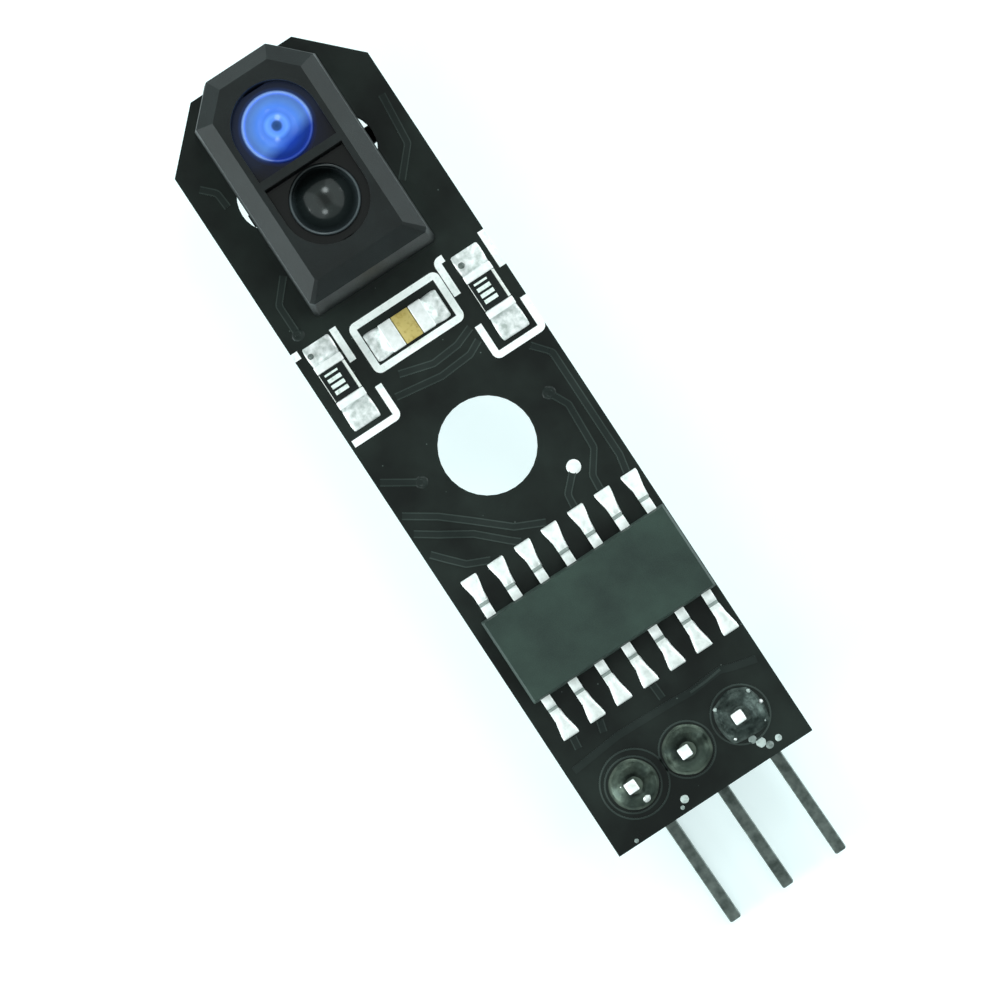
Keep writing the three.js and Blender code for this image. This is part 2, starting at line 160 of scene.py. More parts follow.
def lightStudio():
    world = bpy.data.worlds.new("dim room")
    world.use_nodes = True
    background = world.node_tree.nodes["Background"]
    background.inputs["Color"].default_value = linear(studio["roomTint"])
    background.inputs["Strength"].default_value = studio["ambient"]
    bpy.context.scene.world = world
    for name, azimuth, tilt, distance, size, power in lamps:
        lamp = bpy.data.lights.new(name, "AREA")
        lamp.shape = "DISK"
        lamp.size = size
        lamp.energy = power
        lamp.color = linear(studio["lampTint"])[:3]
        holder = bpy.data.objects.new(name, lamp)
        a, t = math.radians(azimuth), math.radians(tilt)
        direction = Vector((-math.sin(a) * math.sin(t), math.cos(a) * math.sin(t), math.cos(t)))
        holder.location = direction * distance
        holder.rotation_euler = direction.to_track_quat("Z", "Y").to_euler()
        holder.visible_camera = False
        bpy.context.scene.collection.objects.link(holder)
    bpy.context.scene.view_settings.view_transform = "Standard"
    print("camera, floor and lamps ready")


def placeMesh(name, mesh, smoothAngle):
    # shaded smooth, except across edges that turn by more than the angle
    for face in mesh.polygons:
        face.use_smooth = True
    mesh.set_sharp_from_angle(angle=math.radians(smoothAngle))
    piece = bpy.data.objects.new(name, mesh)
    bpy.context.scene.collection.objects.link(piece)
    return piece


def newPiece(name, bm, smoothAngle=40):
    mesh = bpy.data.meshes.new(name)
    bm.to_mesh(mesh)
    bm.free()
    return placeMesh(name, mesh, smoothAngle)


def addBox(bm, low, high):
    # a box between two corners, given in the millimetres of at()
    for vert in bmesh.ops.create_cube(bm, size=1.0)["verts"]:
        vert.co = at(*[a + (b - a) * (0.5 + c) for a, b, c in zip(low, high, vert.co)])


def latheMesh(name, centre, profile, steps, closed=True, squareness=0.0, jitter=0.0, seed=1):
    # profile points are (radius, height); squareness swells a round base towards a square one,
    # and jitter makes the outline uneven, the same way at every height
    rng = random.Random(seed)
    uneven = [(rng.uniform(2, 7), rng.uniform(0, 6.3)) for n in range(3)]
    bm = bmesh.new()
    rings = []
    for radius, height in profile:
        if radius < 1e-9:
            rings.append([bm.verts.new(centre + Vector((0, 0, height)))])
            continue
        ring = []
        for n in range(steps):
            angle = 2 * math.pi * n / steps
            c, s = math.cos(angle), math.sin(angle)
            swell = 1 + squareness * (1 / max(abs(c), abs(s)) - 1)
            swell += jitter * sum(math.sin(int(beat) * angle + start) for beat, start in uneven)
            r = radius * swell
            ring.append(bm.verts.new(centre + Vector((r * c, r * s, height))))
        rings.append(ring)
    for lower, upper in zip(rings, rings[1:]):
        for n in range(steps):
            a, b = lower[n % len(lower)], lower[(n + 1) % len(lower)]
            c, d = upper[(n + 1) % len(upper)], upper[n % len(upper)]
            corners = [v for k, v in enumerate((a, b, c, d)) if v not in (a, b, c, d)[:k]]
            if len(corners) > 2:
                bm.faces.new(corners)
    if closed:
        for ring, flip in ((rings[0], True), (rings[-1], False)):
            if len(ring) > 2:
                bm.faces.new(list(reversed(ring)) if flip else ring)
    bmesh.ops.recalc_face_normals(bm, faces=bm.faces)
    return newPiece(name, bm)


def softened(name, node, width, segments=2):
    # a copy of a CAD node with its flat faces whole again and its sharp edges rounded
    bm = bmesh.new()
    bm.from_mesh(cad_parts[node].data)
    bmesh.ops.remove_doubles(bm, verts=bm.verts, dist=1e-7)
    bmesh.ops.dissolve_limit(bm, angle_limit=math.radians(1.5), verts=bm.verts, edges=bm.edges)
    piece = newPiece(name, bm, 180)
    bevel = piece.modifiers.new("rounded edges", "BEVEL")
    bevel.width = width * mm
    bevel.segments = segments
    bevel.limit_method = "ANGLE"
    bevel.angle_limit = math.radians(22)
    weighted = piece.modifiers.new("flat faces stay flat", "WEIGHTED_NORMAL")
    weighted.weight = 100
    return piece


def archLoft(name, sections, place, across, turn=0.0, wobble=0.0, seed=1):
    # a solder mass through arched cross sections (distance along, half width, height), in mm
    rng = random.Random(seed)
    bm = bmesh.new()
    rows = []
    for along, halfWidth, height in sections:
        row = []
        for n in range(across):
            angle = math.pi * n / (across - 1)
            lift = 0.0
            if 0 < n < across - 1:
                # a power below 1 fills out the arch's shoulders
                lift = height * math.sin(angle) ** 0.55 + rng.uniform(-wobble, wobble)
            row.append(bm.verts.new(Vector((-halfWidth * math.cos(angle), along, max(lift, 0.0))) * mm))
        rows.append(row)
    for first, second in zip(rows, rows[1:]):
        for n in range(across - 1):
            bm.faces.new((first[n], first[n + 1], second[n + 1], second[n]))
        bm.faces.new((first[-1], first[0], second[0], second[-1]))
    bm.faces.new(list(reversed(rows[0])))
    bm.faces.new(rows[-1])
    bmesh.ops.recalc_face_normals(bm, faces=bm.faces)
    bm.transform(Matrix.Translation(place) @ Matrix.Rotation(turn, 4, "Z"))
    return newPiece(name, bm, 70)


def finishPiece(piece, finish, replaced=()):
    # finish is one material, or a list: two for a piece in two finishes, none for a grown piece
    for material in finish if isinstance(finish, list) else [finish]:
        piece.data.materials.append(material)
    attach(piece, "root")
    if replaced:
        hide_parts(*replaced)


def startTree(name, inputs):
    # a tree that takes a geometry and the named inputs
    tree = bpy.data.node_groups.new(name, "GeometryNodeTree")
    for label, kind in [("Geometry", "Geometry")] + inputs:
        tree.interface.new_socket(name=label, in_out="INPUT", socket_type="NodeSocket" + kind)
    tree.interface.new_socket(name="Geometry", in_out="OUTPUT", socket_type="NodeSocketGeometry")
    return tree


def endTree(tree, geometry, material):
    whole = addNode(tree, "GeometryNodeRealizeInstances", links={"Geometry": geometry})
    dressed = addNode(tree, "GeometryNodeSetMaterial",
                      links={"Geometry": whole.outputs["Geometry"], "Material": material})
    addNode(tree, "NodeGroupOutput", links={"Geometry": dressed.outputs["Geometry"]})


def flatStripTree():
    # a strip of ink or copper that follows a path, with its corners rounded
    tree = startTree("flat strip along a path", [
        ("Width", "Float"), ("Height", "Float"), ("Corner", "Float"), ("Material", "Material")])
    given = addNode(tree, "NodeGroupInput").outputs
    rounded = addNode(tree, "GeometryNodeFilletCurve", {"mode": "POLY"}, {"Count": 6},
                      {"Curve": given["Geometry"], "Radius": given["Corner"]})
    level = addNode(tree, "GeometryNodeSetCurveNormal", {"mode": "Z_UP"},
                    links={"Curve": rounded.outputs["Curve"]})
    section = addNode(tree, "GeometryNodeCurvePrimitiveQuadrilateral",
                      links={"Width": given["Width"], "Height": given["Height"]})
    swept = addNode(tree, "GeometryNodeCurveToMesh", values={"Fill Caps": True},
                    links={"Curve": level.outputs["Curve"], "Profile Curve": section.outputs["Curve"]})
    endTree(tree, swept.outputs["Mesh"], given["Material"])
    return tree


def rowPairTree():
    # one shape repeated along a row, and the same row turned half a turn for the other side
    tree = startTree("two facing rows", [
        ("Shape", "Object"), ("Count", "Int"), ("Pitch", "Float"), ("Centre", "Vector"),
        ("Material", "Material")])
    given = addNode(tree, "NodeGroupInput").outputs
    shape = addNode(tree, "GeometryNodeObjectInfo", links={"Object": given["Shape"]})
    step = addNode(tree, "ShaderNodeCombineXYZ", links={"X": given["Pitch"]})
    line = addNode(tree, "GeometryNodeMeshLine",
                   links={"Count": given["Count"], "Offset": step.outputs[0]})
    last = addNode(tree, "ShaderNodeMath", {"operation": "SUBTRACT"}, {1: 1.0}, {0: given["Count"]})
    span = addNode(tree, "ShaderNodeMath", {"operation": "MULTIPLY"},
                   links={0: last.outputs[0], 1: given["Pitch"]})
    half = addNode(tree, "ShaderNodeMath", {"operation": "MULTIPLY"}, {1: -0.5}, {0: span.outputs[0]})
    shift = addNode(tree, "ShaderNodeCombineXYZ", links={"X": half.outputs[0]})
    centred = addNode(tree, "GeometryNodeSetPosition",
                      links={"Geometry": line.outputs["Mesh"], "Offset": shift.outputs[0]})
    row = addNode(tree, "GeometryNodeInstanceOnPoints",
                  links={"Points": centred.outputs["Geometry"], "Instance": shape.outputs["Geometry"]})
    turned = addNode(tree, "GeometryNodeTransform", values={"Rotation": (0, 0, math.pi)},
                     links={"Geometry": row.outputs["Instances"]})
    both = addNode(tree, "GeometryNodeJoinGeometry")
    tree.links.new(row.outputs["Instances"], both.inputs[0])
    tree.links.new(turned.outputs["Geometry"], both.inputs[0])
    placed = addNode(tree, "GeometryNodeTransform",
                     links={"Geometry": both.outputs[0], "Translation": given["Centre"]})
    endTree(tree, placed.outputs["Geometry"], given["Material"])
    return tree


def growPiece(name, tree, holder, values):
    # runs a tree on a holder object and keeps its result as a plain mesh
    modifier = holder.modifiers.new("grow", "NODES")
    modifier.node_group = tree
    names = {item.name: item.identifier for item in tree.interface.items_tree if item.in_out == "INPUT"}
    for key, value in values.items():
        modifier[names[key]] = value
    evaluated = holder.evaluated_get(bpy.context.evaluated_depsgraph_get())
    mesh = bpy.data.meshes.new_from_object(evaluated)
    bpy.data.objects.remove(holder)
    mesh.name = name
    return placeMesh(name, mesh, 50)


def pathHolder(name, paths, height):
    curve = bpy.data.curves.new(name, "CURVE")
    curve.dimensions = "3D"
    for path in paths:
        closed = path[0] == path[-1]
        points = path[:-1] if closed else path
        spline = curve.splines.new("POLY")
        spline.points.add(len(points) - 1)
        for point, (x, y) in zip(spline.points, points):
            point.co = (*at(x, y, height), 1)
        spline.use_cyclic_u = closed
    holder = bpy.data.objects.new(name, curve)
    bpy.context.scene.collection.objects.link(holder)
    return holder


def emptyHolder(name):
    holder = bpy.data.objects.new(name, bpy.data.meshes.new(name))
    bpy.context.scene.collection.objects.link(holder)
    return holder


def solderMaskMaterial(name, dark, light, roughness):
    # liquid solder mask, sprayed, exposed and cured: glossy black, with orange peel and weave below
    material, tree, shader, place = startMaterial(
        name, {"Roughness": roughness, "IOR": 1.5, "Specular IOR Level": 0.3})
    cloud = addNode(tree, "ShaderNodeTexNoise", values={"Scale": perMm(2.6), "Detail": 5.0},
                    links={"Vector": place})
    tone = blendHex(tree, cloud.outputs["Fac"], dark, light)
    tone.color_ramp.elements[0].position = 0.35
    tone.color_ramp.elements[1].position = 0.7
    dust = addNode(tree, "ShaderNodeTexVoronoi", values={"Scale": perMm(0.75), "Randomness": 1.0},
                   links={"Vector": place})
    speck = addNode(tree, "ShaderNodeMapRange", values={"From Min": 0.05, "From Max": 0.02},
                    links={"Value": dust.outputs["Distance"]})
    dusted = addNode(tree, "ShaderNodeMix", {"data_type": "RGBA"},
                     links={0: speck.outputs[0], 6: tone.outputs["Color"]})
    dusted.inputs[7].default_value = linear("#55605c")
    tree.links.new(dusted.outputs[2], shader.inputs["Base Color"])
    peel = addNode(tree, "ShaderNodeTexNoise", values={"Scale": perMm(0.35), "Detail": 2.0},
                   links={"Vector": place})
    rough = addNode(tree, "ShaderNodeMapRange",
                    values={"To Min": roughness - 0.08, "To Max": roughness + 0.14},
                    links={"Value": cloud.outputs["Fac"]})
    tree.links.new(rough.outputs[0], shader.inputs["Roughness"])
    warp = addNode(tree, "ShaderNodeTexWave", {"bands_direction": "X"},
                   {"Scale": perMm(3.1), "Distortion": 0.6, "Detail": 1.0}, {"Vector": place})
    weft = addNode(tree, "ShaderNodeTexWave", {"bands_direction": "Y"},
                   {"Scale": perMm(3.1), "Distortion": 0.6, "Detail": 1.0}, {"Vector": place})
    cloth = addNode(tree, "ShaderNodeMath", {"operation": "ADD"},
                    links={0: warp.outputs["Fac"], 1: weft.outputs["Fac"]})
    relief = addNode(tree, "ShaderNodeMath", {"operation": "MULTIPLY_ADD"}, {1: 0.25},
                     {0: cloth.outputs[0], 2: peel.outputs["Fac"]})
    bump = addNode(tree, "ShaderNodeBump", values={"Strength": 0.16, "Distance": 0.00003},
                   links={"Height": relief.outputs[0]})
    tree.links.new(bump.outputs[0], shader.inputs["Normal"])
    return material


def laminateMaterial():
    # sawn and routed glass-epoxy edge: dark resin with short pale fibre ends in layers
    material, tree, shader, place = startMaterial("routed glass epoxy edge", {"Roughness": 0.7})
    flat = addNode(tree, "ShaderNodeMapping", values={"Scale": (1, 1, 7)}, links={"Vector": place})
    fibre = addNode(tree, "ShaderNodeTexNoise", values={"Scale": perMm(0.28), "Detail": 6.0},
                    links={"Vector": flat.outputs[0]})
    tone = blendHex(tree, fibre.outputs["Fac"], "#141614", "#4b4a3f")
    tone.color_ramp.elements[0].position = 0.45
    tone.color_ramp.elements[1].position = 0.8
    tree.links.new(tone.outputs["Color"], shader.inputs["Base Color"])
    bump = addNode(tree, "ShaderNodeBump", values={"Strength": 0.5, "Distance": 0.00003},
                   links={"Height": fibre.outputs["Fac"]})
    tree.links.new(bump.outputs[0], shader.inputs["Normal"])
    return material


def mouldedMaterial(name, dark, light, roughness, grainMm, depthMm):
    # moulded plastic with the fine eroded texture of its tool and faint flow clouds
    material, tree, shader, place = startMaterial(
        name, {"Roughness": roughness, "IOR": 1.5, "Specular IOR Level": 0.27})
    cloud = addNode(tree, "ShaderNodeTexNoise", values={"Scale": perMm(1.7), "Detail": 4.0},
                    links={"Vector": place})
    grain = addNode(tree, "ShaderNodeTexNoise", values={"Scale": perMm(grainMm), "Detail": 4.0},
                    links={"Vector": place})
    mixed = addNode(tree, "ShaderNodeMath", {"operation": "MULTIPLY_ADD"}, {1: 0.5},
                    {0: grain.outputs["Fac"], 2: cloud.outputs["Fac"]})
    tone = blendHex(tree, mixed.outputs[0], dark, light)
    tone.color_ramp.elements[0].position = 0.5
    tone.color_ramp.elements[1].position = 1.0
    tree.links.new(tone.outputs["Color"], shader.inputs["Base Color"])
    rough = addNode(tree, "ShaderNodeMapRange",
                    values={"To Min": roughness - 0.07, "To Max": roughness + 0.1},
                    links={"Value": grain.outputs["Fac"]})
    tree.links.new(rough.outputs[0], shader.inputs["Roughness"])
    bump = addNode(tree, "ShaderNodeBump", values={"Strength": 0.35, "Distance": depthMm * mm},
                   links={"Height": grain.outputs["Fac"]})
    tree.links.new(bump.outputs[0], shader.inputs["Normal"])
    return material


def metalMaterial(name, dark, light, roughness, grainMm, strength, metallic=1.0, heel=None):
    # plated or reflowed metal: cloudy tone, frosted patches and a slightly uneven skin;
    # heel is (middle y, from, to) in mm for a band of painted shade where a chip's leads meet their pads
    material, tree, shader, place = startMaterial(name, {"Metallic": metallic, "Roughness": roughness})
    cloud = addNode(tree, "ShaderNodeTexNoise", values={"Scale": perMm(grainMm * 5), "Detail": 5.0},
                    links={"Vector": place})
    tone = blendHex(tree, cloud.outputs["Fac"], dark, light)
    tone.color_ramp.elements[0].position = 0.3
    tone.color_ramp.elements[1].position = 0.65
    tree.links.new(tone.outputs["Color"], shader.inputs["Base Color"])
    if heel:
        paintHeelShade(tree, shader, place, tone.outputs["Color"], heel)
    grain = addNode(tree, "ShaderNodeTexNoise", values={"Scale": perMm(grainMm), "Detail": 3.0},
                    links={"Vector": place})
    rough = addNode(tree, "ShaderNodeMapRange",
                    values={"To Min": roughness - 0.08, "To Max": roughness + 0.12},
                    links={"Value": grain.outputs["Fac"]})
    tree.links.new(rough.outputs[0], shader.inputs["Roughness"])
    bump = addNode(tree, "ShaderNodeBump", values={"Strength": strength, "Distance": 0.00002},
                   links={"Height": grain.outputs["Fac"]})
    tree.links.new(bump.outputs[0], shader.inputs["Normal"])
    return material


def paintHeelShade(tree, shader, place, tone, heel):
    # a band of painted shade across every lead, where the shoulder shades the heel, as far out on one side
    # of the chip as on the other
    middle, start, stop = heel
    parts = addNode(tree, "ShaderNodeSeparateXYZ", links={"Vector": place})
    away = addNode(tree, "ShaderNodeMath", {"operation": "SUBTRACT"}, {1: at(0, middle).y},
                   {0: parts.outputs["Y"]})
    reach = addNode(tree, "ShaderNodeMath", {"operation": "ABSOLUTE"}, links={0: away.outputs[0]})
    centre, half = (start + stop) / 2 * mm, (stop - start) / 2 * mm
    near = addNode(tree, "ShaderNodeMath", {"operation": "COMPARE"}, {1: centre, 2: half},
                   {0: reach.outputs[0]})
    dulled = addNode(tree, "ShaderNodeMix", {"data_type": "RGBA"}, links={0: near.outputs[0], 6: tone})
    dulled.inputs[7].default_value = linear("#9fa8a4")
    tree.links.new(dulled.outputs[2], shader.inputs["Base Color"])


def coatMaterial(name, dark, light, roughness):
    # screen-printed, fired or dried coating: matt, with thin spots where less of it lies
    material, tree, shader, place = startMaterial(name, {"Roughness": roughness})
    thin = addNode(tree, "ShaderNodeTexNoise", values={"Scale": perMm(0.16), "Detail": 4.0},
                   links={"Vector": place})
    tone = blendHex(tree, thin.outputs["Fac"], dark, light)
    tone.color_ramp.elements[0].position = 0.2
    tone.color_ramp.elements[1].position = 0.5
    tree.links.new(tone.outputs["Color"], shader.inputs["Base Color"])
    bump = addNode(tree, "ShaderNodeBump", values={"Strength": 0.3, "Distance": 0.00001},
                   links={"Height": thin.outputs["Fac"]})
    tree.links.new(bump.outputs[0], shader.inputs["Normal"])
    return material


# radii, and heights above the board; tones is how far out the rings of tone reach
lens = {
    "radius": 1.43, "bead": 0.07, "domeRadius": 1.29, "rootLift": 0.5, "seat": 5.5, "rimZ": 5.9, "top": 6.6,
    "beadSteps": 8, "domeSteps": 16, "sides": 64, "tones": 2.2, "shadeFrom": 0.35, "shadeTo": 1.0,
}


def epoxyMaterial(name, centre, rings, shady, shadeTowards, glow):
    # cast epoxy lens: rings of tone from the die under its middle out to its rim, with a painted highlight
    # on the rim and painted shade in the well round it, and painted shade beside the divider; glow makes
    # the lens give off its painted colour as light, a painted glow though it is no lamp
    material, tree, shader, place = startMaterial(
        name, {"Roughness": 0.17, "IOR": 1.53, "Emission Strength": glow})
    shifted = addNode(tree, "ShaderNodeVectorMath", {"operation": "SUBTRACT"}, {1: tuple(centre)},
                      {0: place})
    flat = addNode(tree, "ShaderNodeVectorMath", {"operation": "MULTIPLY"}, {1: (1, 1, 0)},
                   {0: shifted.outputs[0]})
    radius = addNode(tree, "ShaderNodeVectorMath", {"operation": "LENGTH"}, links={0: flat.outputs[0]})
    share = addNode(tree, "ShaderNodeMath", {"operation": "MULTIPLY"}, {1: 1 / (lens["tones"] * mm)},
                    {0: radius.outputs["Value"]})
    ringRamp = addNode(tree, "ShaderNodeValToRGB", links={"Fac": share.outputs[0]})
    ramp = ringRamp.color_ramp
    while len(ramp.elements) < len(rings):
        ramp.elements.new(0.5)
    for element, (reach, tone) in zip(ramp.elements, rings):
        element.position = reach / lens["tones"]
        element.color = linear(tone)
    # painted shade: the side that faces shadeTowards is darkened towards shady, where the divider shades
    # the lens
    across = addNode(tree, "ShaderNodeVectorMath", {"operation": "DOT_PRODUCT"},
                     {1: shadeTowards}, {0: flat.outputs[0]})
    cloud = addNode(tree, "ShaderNodeTexNoise", values={"Scale": perMm(0.7), "Detail": 3.0},
                    links={"Vector": place})
    lean = addNode(tree, "ShaderNodeMapRange", links={"Value": across.outputs["Value"]},
                   values={"From Min": lens["shadeFrom"] * mm, "From Max": lens["shadeTo"] * mm})
    mixed = addNode(tree, "ShaderNodeMath", {"operation": "MULTIPLY_ADD", "use_clamp": True}, {1: 0.3},
                    {0: cloud.outputs["Fac"], 2: lean.outputs[0]})
    side = blendHex(tree, mixed.outputs[0], "#ffffff", shady)
    side.color_ramp.elements[0].position = 0.15
    side.color_ramp.elements[1].position = 1.0
    tinted = addNode(tree, "ShaderNodeMix", {"data_type": "RGBA", "blend_type": "MULTIPLY"}, {0: 1.0},
                     {6: ringRamp.outputs["Color"], 7: side.outputs["Color"]})
    tree.links.new(tinted.outputs[2], shader.inputs["Base Color"])
    # painted glow: the painted colour is also given off as light
    tree.links.new(tinted.outputs[2], shader.inputs["Emission Color"])
    return material


# distance from the lens's middle in mm, and the tone there; the bright ring near the rim is a painted
# highlight, and the dark tones past the rim are painted shade in the well
blueRings = [(0.0, "#133566"), (0.17, "#1b427e"), (0.25, "#4b7de2"), (0.4, "#5a90ee"), (0.55, "#3f74da"),
             (0.8, "#5990fa"), (1.05, "#6da0f8"), (1.25, "#6f9df0"), (1.37, "#8fb4fb"), (1.45, "#22407e"),
             (1.58, "#101f3f"), (2.2, "#060b14")]
blackRings = [(0.0, "#080c0b"), (0.2, "#0c1110"), (0.4, "#1e2423"), (1.1, "#22292a"), (1.25, "#3c4548"),
              (1.36, "#6b757a"), (1.44, "#0f1315"), (2.2, "#050606")]


def lensCentre(dieNode):
    low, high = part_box(dieNode)
    return Vector(((low.x + high.x) / 2, (low.y + high.y) / 2, 0))


materials = {
    # the mask is darkest on bare laminate and a shade paler on copper; its palest tone is a painted
    # highlight along copper edges, standing in for the sheen on their ridges
    "mask": solderMaskMaterial("cured black solder mask", "#080e0c", "#19221e", 0.3),
    "maskTrace": solderMaskMaterial("solder mask over copper", "#131b19", "#222a27", 0.28),
    "maskEdgeHighlight": solderMaskMaterial("solder mask with a painted edge highlight", "#252e2b", "#3c4642", 0.3),
    "laminate": laminateMaterial(),
    # the mouldings are near black, and the chip's filler greys its body and takes off its shine
    "housing": mouldedMaterial("moulded black polycarbonate", "#0a0e0e", "#141919", 0.5, 0.06, 0.02),
    "nylon": mouldedMaterial("moulded black nylon", "#0d0f10", "#17191a", 0.5, 0.08, 0.02),
    "chip": mouldedMaterial("silica-filled moulding compound", "#232f2b", "#31413a", 0.62, 0.05, 0.012),
    "overcoat": mouldedMaterial("black glass overcoat", "#0f1312", "#1c2221", 0.3, 0.12, 0.006),
    # both lenses carry painted shade from the divider and a painted rim highlight, and the emitter's also a
    # painted glow in its blue
    "blueEpoxy": epoxyMaterial("clear blue cast epoxy with painted light", lensCentre("emitter_die"), blueRings,
                               "#5f74b4", (0.2, -0.98, 0), 0.32),
    "blackEpoxy": epoxyMaterial("daylight-blocking black epoxy with painted light", lensCentre("detector_die"), blackRings,
                                "#6f7372", (0.06, 1, 0), 0.0),
    # tin plate is white and matt; the leads carry painted shade where they meet the solder
    "tin": metalMaterial("matte tin plate", "#eaecea", "#fdfdfd", 0.6, 0.05, 0.25, 0.6),
    "leadTin": metalMaterial("matte tin on the chip's leads", "#e3e6e3", "#fbfcfb", 0.6, 0.05, 0.3, 0.7,
                             heel=(8.9, 2.43, 2.58)),
    # oven solder is bright; hand-run solder on the pins is made dark, and grainy where cold
    "solder": metalMaterial("reflowed solder", "#e1e5e2", "#fdfefd", 0.58, 0.07, 0.4, 0.7),
    "solderPatchy": metalMaterial("reflowed solder with dull patches", "#b4bbb7", "#ffffff", 0.5, 0.06,
                                  0.4, 0.5),
    "solderCone": metalMaterial("dark hand-run solder", "#353d39", "#606a60", 0.4, 0.14, 0.4),
    "solderCold": metalMaterial("cold grainy solder", "#232a28", "#5f6965", 0.5, 0.1, 0.9),
    "solderBack": metalMaterial("hand-run glossy solder", "#a9b0aa", "#c8cdc6", 0.24, 0.12, 0.35),
    # the pins have gone grey, and their cut ends are still bright; the same bright metal paints highlights
    # on the joints
    "pin": metalMaterial("dulled nickel-tin pin plate", "#4c5451", "#757e7a", 0.36, 0.09, 0.5),
    "cut": metalMaterial("freshly cut pin end", "#e2e5e0", "#ffffff", 0.6, 0.06, 0.3, 0.7),
    "silicon": metalMaterial("sawn silicon die", "#20262c", "#3a4249", 0.35, 0.05, 0.1, 0.5),
    # inks and ceramics are matt and slightly uneven, and flux dries to a thin pale or burnt crust
    "ink": coatMaterial("white epoxy legend ink", "#dfe7e4", "#fcfffd", 0.55),
    "mark": coatMaterial("pale fired marking ink", "#aab5af", "#e6efe9", 0.55),
    "alumina": coatMaterial("bare fired alumina", "#c9ccc6", "#e9ebe6", 0.6),
    "capacitor": coatMaterial("fired tan dielectric", "#a58a3e", "#c6b067", 0.5),
    "flux": coatMaterial("dried flux residue", "#2b3331", "#7f8a86", 0.35),
    "fluxPale": coatMaterial("pale dried flux", "#7b8682", "#b9c4c0", 0.35),
    "stain": coatMaterial("burnt flux on a pad", "#232a28", "#59625e", 0.4),
}
print("materials made:", len(materials))


stripTree = flatStripTree()
board = {
    "edgeRound": 0.05, "traceWidth": 0.26, "traceHeight": 0.018, "traceCorner": 0.3,
    "copperEdge": 0.05, "copperEdgeHeight": 0.022,
    "planeWidth": 0.3, "planeHeight": 0.03, "planeCorner": 0.5, "highlightWidth": 0.1, "highlightHeight": 0.05,
    "ringWidth": 0.07, "ringHeight": 0.024, "inkWidth": 0.3, "inkHeight": 0.03, "inkCorner": 0.16,
    "viaSteps": 28, "fluxSteps": 24, "fluxJitter": 0.02, "headerLine": 2.1,
}
# x and radius of the rings under the mask round the header's joints
jointRings = [(-2.57, 1.14), (0, 1.14), (2.54, 1.2), (-2.5, 1.4)]
# outlines below are x, y in millimetres
tracePaths = [
    [(-4.4, 15.25), (-3.6, 14.7), (-2.4, 13.95), (-1.35, 12.95), (-1.0, 12.65)],
    [(-4.4, 16.1), (-3.2, 15.3), (-2.2, 14.45), (-0.9, 13.3), (0.27, 12.75)],
    [(-4.4, 17.7), (-3.0, 16.8)],
    [(-4.3, 14.2), (-3.9, 13.75), (-3.3, 13.1), (-2.4, 12.7)],
    [(1.55, 12.65), (1.6, 13.2), (2.4, 14.0)],
    [(2.8, 12.65), (2.85, 13.3), (3.5, 14.2), (3.6, 16.2), (3.2, 17.0)],
    [(4.05, 12.65), (4.2, 13.4), (4.2, 18.3), (3.6, 19.0)],
    [(-1.4, 20.9), (0.0, 20.5), (1.2, 20.6), (2.0, 20.9)],
    [(-2.0, 20.2), (0.0, 19.9), (1.4, 20.0), (2.0, 20.3)],
    [(-3.54, 5.0), (-3.6, 4.5)],
    [(-2.27, 5.0), (-2.4, 4.5)],
    [(0.27, 5.0), (0.3, 4.35)],
    [(2.95, 27.3), (3.95, 28.4), (4.15, 30.6)],
    [(-3.1, 26.7), (-3.9, 25.8), (-3.9, 24.4)],
    [(-4.0, 31.4), (-3.5, 30.9), (-3.45, 30.2)],
]
planeEdge = [(-4.25, 3.85), (-2.0, 4.08), (0.5, 4.0), (1.4, 3.93), (2.8, 4.04), (3.3, 3.86), (4.3, 3.6)]
brightEdge = [(1.35, 3.93), (2.1, 3.96), (2.85, 4.05)]
inkPaths = [
    [(-1.98, 21.45), (1.95, 21.45), (1.95, 23.45), (-1.98, 23.45), (-1.98, 21.45)],
    [(2.62, 23.8), (2.29, 23.8), (2.29, 22.25)],
    [(4.45, 23.9), (4.45, 22.25)],
    [(2.3, 20.8), (2.3, 19.35), (4.45, 19.35), (4.45, 20.8)],
    [(-2.62, 23.9), (-2.62, 22.35)],
    [(-4.45, 23.9), (-4.45, 23.55)],
    [(-2.33, 21.0), (-2.33, 19.55), (-4.45, 19.55)],
]
